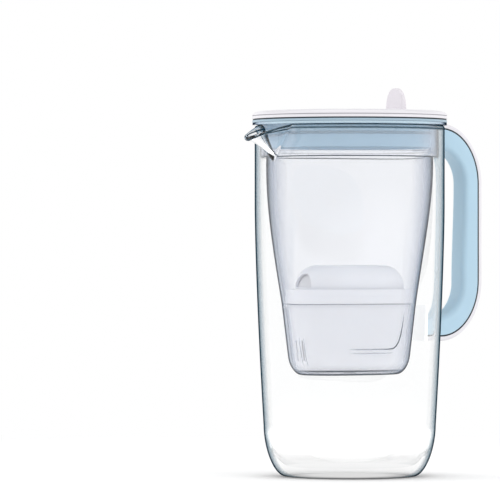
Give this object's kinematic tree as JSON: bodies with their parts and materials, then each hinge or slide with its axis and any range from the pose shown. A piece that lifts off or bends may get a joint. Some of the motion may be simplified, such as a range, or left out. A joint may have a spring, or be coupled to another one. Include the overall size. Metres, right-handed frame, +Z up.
{
  "type": "water filter pitcher with flip lid",
  "caption": "Round glass pitcher with a pulled spout, a C-shaped handle, a lift-out funnel tank that holds a filter cartridge, and a lid with a hinged fill flap and thumb tab.",
  "frame": {"origin": "on the axis of the round glass, at the underside of its base, on the table", "axes": "+Z up, +X towards the handle, -X towards the spout"},
  "size_m": [0.2018, 0.1382, 0.2755],
  "materials": {
    "clear_glass": "clear, polished",
    "clear_pad": "clear bonding resin",
    "light_blue_plastic": "satin",
    "white_plastic": "satin",
    "clear_plastic": "clear, slightly grey",
    "cartridge_plastic": "satin",
    "filter_mesh": "fine woven mesh",
    "granules": "loose granules",
    "seal_rubber": "soft silicone",
    "pin_steel": "drawn",
    "frosted_plastic": "frosted, translucent",
    "cover_plastic": "satin",
    "circuit_board": "solder mask",
    "cell_steel": "satin"
  },
  "bodies": {
    "jug": {"glass_jug": "clear_glass", "handle_upper_pad": "clear_pad", "handle_lower_pad": "clear_pad", "handle_grip": "light_blue_plastic", "handle_shell": "white_plastic"},
    "funnel": {"funnel_tank": "clear_plastic"},
    "cartridge": {"cartridge_cup": "cartridge_plastic", "cartridge_cap": "cartridge_plastic", "cartridge_top_mesh": "filter_mesh", "cartridge_bottom_mesh": "filter_mesh", "filter_granules": "granules"},
    "lid": {"lid_base": "light_blue_plastic", "lid_plate": "white_plastic", "lid_seal": "seal_rubber", "hinge_pin": "pin_steel"},
    "flap": {"flap": "white_plastic", "thumb_tab": "frosted_plastic", "indicator_case": "frosted_plastic", "indicator_cover": "cover_plastic", "indicator_board": "circuit_board", "coin_cell": "cell_steel"}
  },
  "joints": [
    {"name": "funnel_lift", "type": "slide", "parent": "jug", "child": "funnel", "axis": [0, 0, 1], "range_m": [0, 0.19]},
    {"name": "cartridge_lift", "type": "slide", "parent": "funnel", "child": "cartridge", "axis": [0, 0, 1], "range_m": [0, 0.09]},
    {"name": "lid_lift", "type": "slide", "parent": "funnel", "child": "lid", "axis": [0, 0, 1], "range_m": [0, 0.08]},
    {"name": "flap_hinge", "type": "hinge", "parent": "lid", "child": "flap", "pos_m": [0.0456, 0, 0.2567], "axis": [0, 1, 0], "range_deg": [0, 85]}
  ]
}
